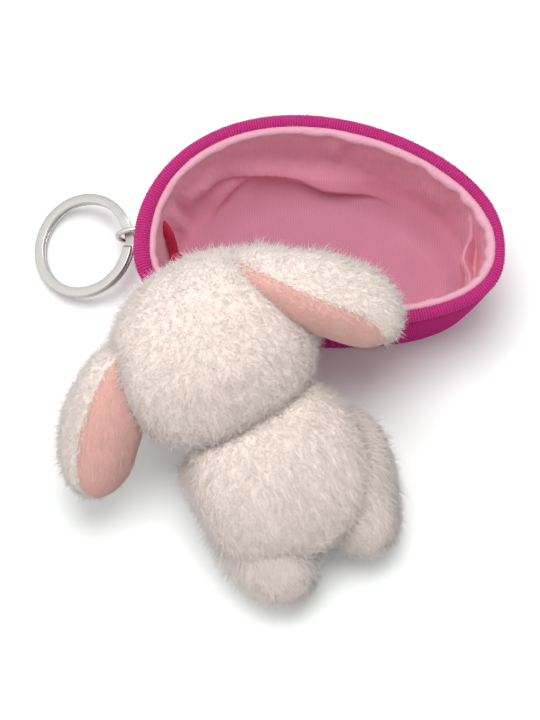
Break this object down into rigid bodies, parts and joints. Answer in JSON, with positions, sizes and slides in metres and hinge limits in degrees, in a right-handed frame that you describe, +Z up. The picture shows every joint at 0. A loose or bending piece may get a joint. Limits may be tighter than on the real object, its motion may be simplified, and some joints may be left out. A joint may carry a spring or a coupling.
{
  "type": "plush keychain",
  "caption": "Soft rabbit plush lying over the rim of an open oval fabric pouch with a pale lining, tethered by a cord and hung on a flat split key ring by a wire link.",
  "frame": {"origin": "centre of the pouch's flat base, on the floor", "axes": "+Z up, +X along the pouch's length away from the key ring, +Y from the plush towards the pouch's back"},
  "size_m": [0.109, 0.1098, 0.0522],
  "materials": {
    "velour_magenta": "ribbed velour",
    "velour_pink": "fine ribbed lining",
    "wadding_white": "loose fibre",
    "fur_white": "short curly pile",
    "ear_pink": "smooth velour",
    "cord_crimson": "twisted cord",
    "nickel": "brushed nickel plate",
    "thread_brown": "embroidery thread"
  },
  "bodies": {
    "pouch": {"pouch_outer": "velour_magenta", "pouch_wadding": "wadding_white", "pouch_lining": "velour_pink", "pouch_rim": "velour_magenta", "hanging_loop": "velour_magenta"},
    "link": {"ring_link": "nickel"},
    "ring": {"split_ring": "nickel"},
    "head": {"head_skin": "fur_white", "head_filling": "wadding_white", "nose": "thread_brown", "eye_left": "thread_brown", "eye_right": "thread_brown", "tether_cord": "cord_crimson"},
    "body": {"body_skin": "fur_white", "body_filling": "wadding_white"},
    "ear_left": {"ear_left_outer": "fur_white", "ear_left_lining": "ear_pink", "ear_left_filling": "wadding_white"},
    "ear_right": {"ear_right_outer": "fur_white", "ear_right_lining": "ear_pink", "ear_right_filling": "wadding_white"},
    "leg_left": {"leg_left_skin": "fur_white", "leg_left_filling": "wadding_white"},
    "leg_right": {"leg_right_skin": "fur_white", "leg_right_filling": "wadding_white"},
    "arm_left": {"arm_left_skin": "fur_white", "arm_left_filling": "wadding_white"},
    "arm_right": {"arm_right_skin": "fur_white", "arm_right_filling": "wadding_white"}
  },
  "joints": [
    {"name": "plush_swing", "type": "hinge", "parent": "pouch", "child": "head", "pos_m": [-0.03395, 0.002, 0.0236], "axis": [0, 0, 1], "range_deg": [-30, 0], "deforming": ["tether_cord"]},
    {"name": "neck_nod", "type": "hinge", "parent": "head", "child": "body", "pos_m": [-0.01578, -0.047, 0.02711], "axis": [0.848, 0.5299, 0], "range_deg": [-14, 5], "stiffness_Nm_per_rad": 0.05},
    {"name": "ear_left_flop", "type": "hinge", "parent": "head", "child": "ear_left", "pos_m": [-0.04616, -0.03761, 0.0394], "axis": [-0.7503, -0.3705, 0.5475], "range_deg": [-6, 15], "stiffness_Nm_per_rad": 0.02},
    {"name": "ear_right_flop", "type": "hinge", "parent": "head", "child": "ear_right", "pos_m": [-0.01423, -0.02072, 0.04784], "axis": [-0.2265, 0.3022, -0.926], "range_deg": [-24, 0], "stiffness_Nm_per_rad": 0.02},
    {"name": "leg_left_kick", "type": "hinge", "parent": "body", "child": "leg_left", "pos_m": [-0.01387, -0.06949, 0.0105], "axis": [0.848, 0.5299, 0], "range_deg": [-18, 5], "stiffness_Nm_per_rad": 0.02},
    {"name": "leg_right_kick", "type": "hinge", "parent": "body", "child": "leg_right", "pos_m": [0.00738, -0.05727, 0.0105], "axis": [0.848, 0.5299, 0], "range_deg": [-18, 5], "stiffness_Nm_per_rad": 0.02},
    {"name": "arm_left_sweep", "type": "hinge", "parent": "body", "child": "arm_left", "pos_m": [-0.02268, -0.05954, 0.0097], "axis": [0, 0, 1], "range_deg": [-12, 12], "stiffness_Nm_per_rad": 0.02},
    {"name": "arm_right_sweep", "type": "hinge", "parent": "body", "child": "arm_right", "pos_m": [-0.00148, -0.04629, 0.0097], "axis": [0, 0, 1], "range_deg": [-12, 12], "stiffness_Nm_per_rad": 0.02},
    {"name": "link_swing", "type": "hinge", "parent": "pouch", "child": "link", "pos_m": [-0.04197, 0.00361, 0.0101], "axis": [-0.1045, 0.9945, 0], "range_deg": [-8, 40]},
    {"name": "ring_flap", "type": "hinge", "parent": "link", "child": "ring", "pos_m": [-0.0449, 0.0033, 0.0101], "axis": [-0.1045, 0.9945, 0], "range_deg": [-4, 60]}
  ]
}
